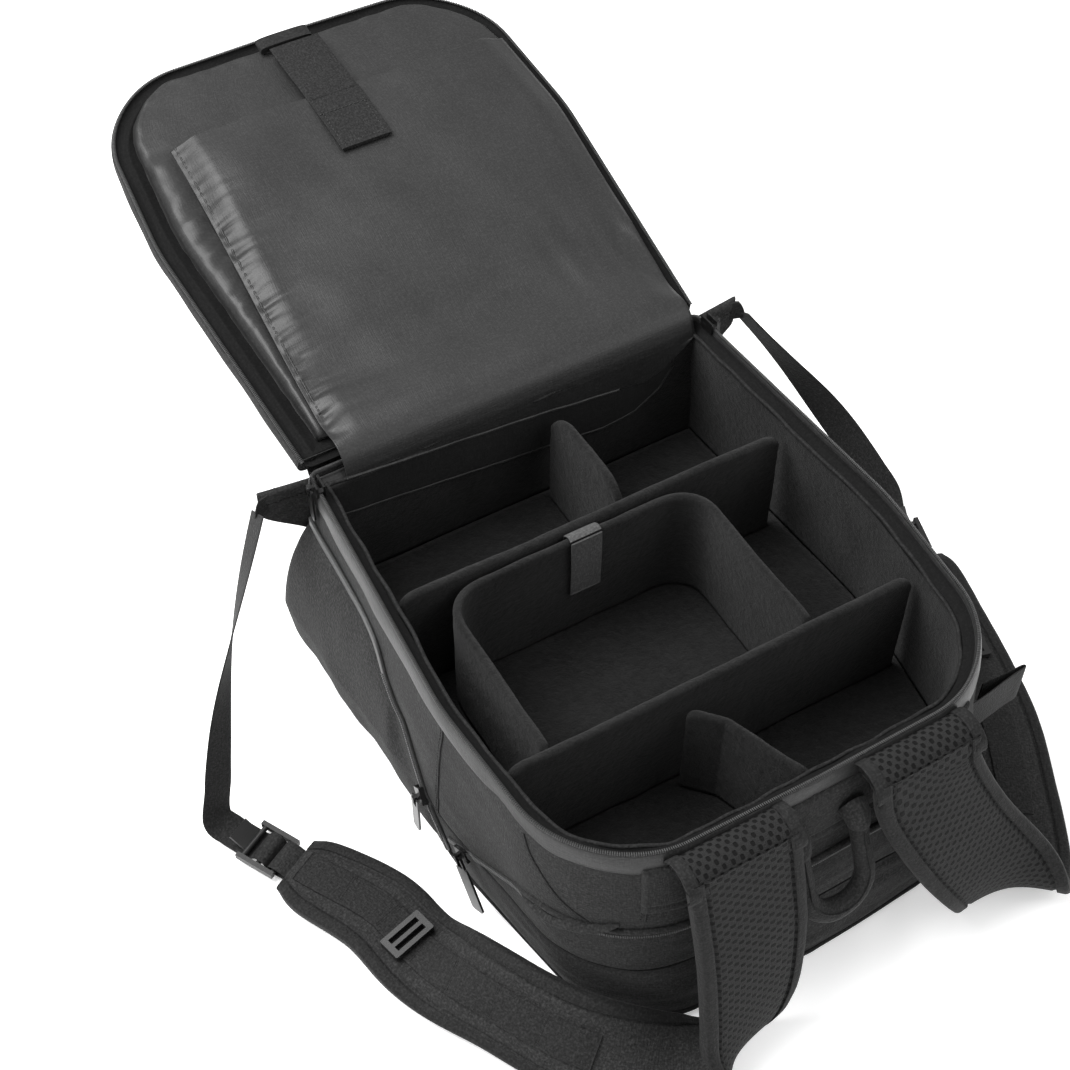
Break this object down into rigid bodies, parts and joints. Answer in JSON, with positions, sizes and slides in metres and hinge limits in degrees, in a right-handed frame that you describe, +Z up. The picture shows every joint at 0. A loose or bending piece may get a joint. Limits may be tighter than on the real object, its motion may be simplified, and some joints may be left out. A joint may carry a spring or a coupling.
{
  "type": "camera backpack",
  "caption": "Camera backpack lying on its front with the zip-round back lid open, padded dividers, tablet sleeve and harness.",
  "frame": {"origin": "centre of the flat front face that the bag rests on", "axes": "+Z up through the mouth, +Y towards the bag's bottom end where the lid hinges, +X to the right"},
  "size_m": [0.628, 0.8693, 0.2716],
  "materials": {
    "shell_fabric": "woven, matt",
    "lining_satin": "smooth satin lining",
    "loop_liner": "brushed loop fabric",
    "air_mesh": "spacer mesh",
    "webbing": "ribbed webbing",
    "zip_tape": "zip tape",
    "zip_teeth": "coil teeth",
    "moulded_plastic": "moulded, satin",
    "zip_metal": "black lacquered",
    "strap_grey": "hook-and-loop strap",
    "board": "plain board"
  },
  "bodies": {
    "bag": {"front_panel": "shell_fabric", "front_compartment_wall": "shell_fabric", "floor_board": "loop_liner", "main_shell": "shell_fabric", "wall_liner": "loop_liner", "rim_zip_tape": "zip_tape", "rim_zip_teeth": "zip_teeth", "hinge_seam": "lining_satin", "front_zip": "zip_teeth", "side_zip_left": "zip_teeth", "side_zip_right": "zip_teeth", "side_pocket_left": "shell_fabric", "side_pocket_right": "shell_fabric", "strap_yoke": "shell_fabric", "strap_wing_left": "shell_fabric", "strap_wing_right": "shell_fabric", "side_loop": "webbing"},
    "lid": {"lid_zip_teeth": "zip_teeth", "lid_zip_tape": "zip_tape", "lid_lining": "lining_satin", "lid_stiffener": "board", "lid_back_shell": "shell_fabric", "back_mesh_pads": "air_mesh", "hinge_roll": "lining_satin", "tablet_sleeve": "lining_satin", "tablet_strap_tab": "webbing"},
    "tablet_strap": {"tablet_strap": "webbing"},
    "grab_handle": {"grab_handle": "shell_fabric"},
    "main_slider_left": {"main_slider_left": "zip_metal"},
    "main_pull_left": {"main_pull_left": "zip_metal"},
    "main_slider_right": {"main_slider_right": "zip_metal"},
    "main_pull_right": {"main_pull_right": "zip_metal"},
    "front_slider": {"front_slider": "zip_metal"},
    "front_pull": {"front_pull": "zip_metal"},
    "side_slider_left": {"side_slider_left": "zip_metal"},
    "side_pull_left": {"side_pull_left": "zip_metal"},
    "side_slider_right": {"side_slider_right": "zip_metal"},
    "side_pull_right": {"side_pull_right": "zip_metal"},
    "shoulder_strap_left": {"shoulder_pad_left": "air_mesh", "daisy_webbing_left": "webbing", "ladder_lock_left": "moulded_plastic", "lock_loop_left": "webbing", "adjust_webbing_left": "webbing"},
    "sternum_slider_left": {"sternum_slider_left": "moulded_plastic"},
    "shoulder_strap_right": {"shoulder_pad_right": "air_mesh", "daisy_webbing_right": "webbing", "ladder_lock_right": "moulded_plastic", "lock_loop_right": "webbing", "adjust_webbing_right": "webbing"},
    "sternum_slider_right": {"sternum_slider_right": "moulded_plastic"},
    "cross_divider_top": {"cross_divider_top": "loop_liner"},
    "cross_divider_bottom": {"cross_divider_bottom": "loop_liner"},
    "camera_cradle": {"camera_cradle": "loop_liner"},
    "flash_divider": {"flash_divider": "loop_liner"},
    "lens_divider": {"lens_divider": "loop_liner"},
    "cradle_strap": {"cradle_strap": "strap_grey"}
  },
  "joints": [
    {"name": "lid_hinge", "type": "hinge", "parent": "bag", "child": "lid", "pos_m": [0, 0.1935, 0.19], "axis": [1, 0, 0], "range_deg": [-25, 169]},
    {"name": "tablet_strap_lift", "type": "hinge", "parent": "lid", "child": "tablet_strap", "pos_m": [0, 0.55333, 0.26748], "axis": [1, 0, 0], "range_deg": [-90, 0]},
    {"name": "grab_handle_swing", "type": "hinge", "parent": "bag", "child": "grab_handle", "pos_m": [0.0005, -0.214, 0.146], "axis": [1, 0, 0], "range_deg": [-95, 0]},
    {"name": "main_zip_left", "type": "slide", "parent": "bag", "child": "main_slider_left", "axis": [-0.067, -0.9978, 0], "range_m": [0, 0.15]},
    {"name": "main_pull_left_swing", "type": "hinge", "parent": "main_slider_left", "child": "main_pull_left", "pos_m": [-0.17071, 0.1758, 0.19], "axis": [0.067, 0.9978, 0], "range_deg": [0, 120]},
    {"name": "main_zip_right", "type": "slide", "parent": "bag", "child": "main_slider_right", "axis": [0.067, -0.9978, 0], "range_m": [0, 0.15]},
    {"name": "main_pull_right_swing", "type": "hinge", "parent": "main_slider_right", "child": "main_pull_right", "pos_m": [0.17071, 0.1758, 0.19], "axis": [0.067, -0.9978, 0], "range_deg": [0, 120]},
    {"name": "front_zip_run", "type": "slide", "parent": "bag", "child": "front_slider", "axis": [0.1342, -0.8706, 0.4733], "range_m": [0, 0.05]},
    {"name": "front_pull_swing", "type": "hinge", "parent": "front_slider", "child": "front_pull", "pos_m": [-0.18852, -0.06501, 0.0591], "axis": [-0.1342, 0.8706, -0.4733], "range_deg": [0, 110]},
    {"name": "side_zip_left_run", "type": "slide", "parent": "bag", "child": "side_slider_left", "axis": [0.0758, 0.6566, 0.7504], "range_m": [0, 0.05]},
    {"name": "side_pull_left_swing", "type": "hinge", "parent": "side_slider_left", "child": "side_pull_left", "pos_m": [-0.1929, -0.0122, 0.0641], "axis": [0, 1, 0], "range_deg": [0, 110]},
    {"name": "side_zip_right_run", "type": "slide", "parent": "bag", "child": "side_slider_right", "axis": [-0.0758, 0.6566, 0.7504], "range_m": [0, 0.05]},
    {"name": "side_pull_right_swing", "type": "hinge", "parent": "side_slider_right", "child": "side_pull_right", "pos_m": [0.1929, -0.0122, 0.0641], "axis": [0, -1, 0], "range_deg": [0, 110]},
    {"name": "shoulder_strap_left_swing", "type": "hinge", "parent": "bag", "child": "shoulder_strap_left", "pos_m": [-0.07, -0.214, 0.182], "axis": [-0.3126, 0.9496, -0.0233], "range_deg": [0, 80]},
    {"name": "sternum_slider_left_run", "type": "slide", "parent": "shoulder_strap_left", "child": "sternum_slider_left", "axis": [-0.2325, 0.9724, -0.0211], "range_m": [-0.002, 0.02]},
    {"name": "shoulder_strap_right_swing", "type": "hinge", "parent": "bag", "child": "shoulder_strap_right", "pos_m": [0.07, -0.214, 0.182], "axis": [-0.3126, -0.9496, 0.0233], "range_deg": [0, 80]},
    {"name": "sternum_slider_right_run", "type": "slide", "parent": "shoulder_strap_right", "child": "sternum_slider_right", "axis": [0.2524, 0.9676, 0], "range_m": [-0.002, 0.02]},
    {"name": "cross_divider_top_lift", "type": "slide", "parent": "bag", "child": "cross_divider_top", "axis": [0, 0, -1], "range_m": [-0.11, 0]},
    {"name": "cross_divider_bottom_lift", "type": "slide", "parent": "bag", "child": "cross_divider_bottom", "axis": [0, 0, -1], "range_m": [-0.11, 0]},
    {"name": "camera_cradle_lift", "type": "slide", "parent": "bag", "child": "camera_cradle", "axis": [0, 0, -1], "range_m": [-0.11, 0]},
    {"name": "flash_divider_lift", "type": "slide", "parent": "bag", "child": "flash_divider", "axis": [0, 0, -1], "range_m": [-0.11, 0]},
    {"name": "lens_divider_lift", "type": "slide", "parent": "bag", "child": "lens_divider", "axis": [0, 0, -1], "range_m": [-0.11, 0]},
    {"name": "cradle_strap_swing", "type": "hinge", "parent": "camera_cradle", "child": "cradle_strap", "pos_m": [-0.016, 0.0553, 0.1682], "axis": [1, 0, 0], "range_deg": [-120, 0]}
  ]
}
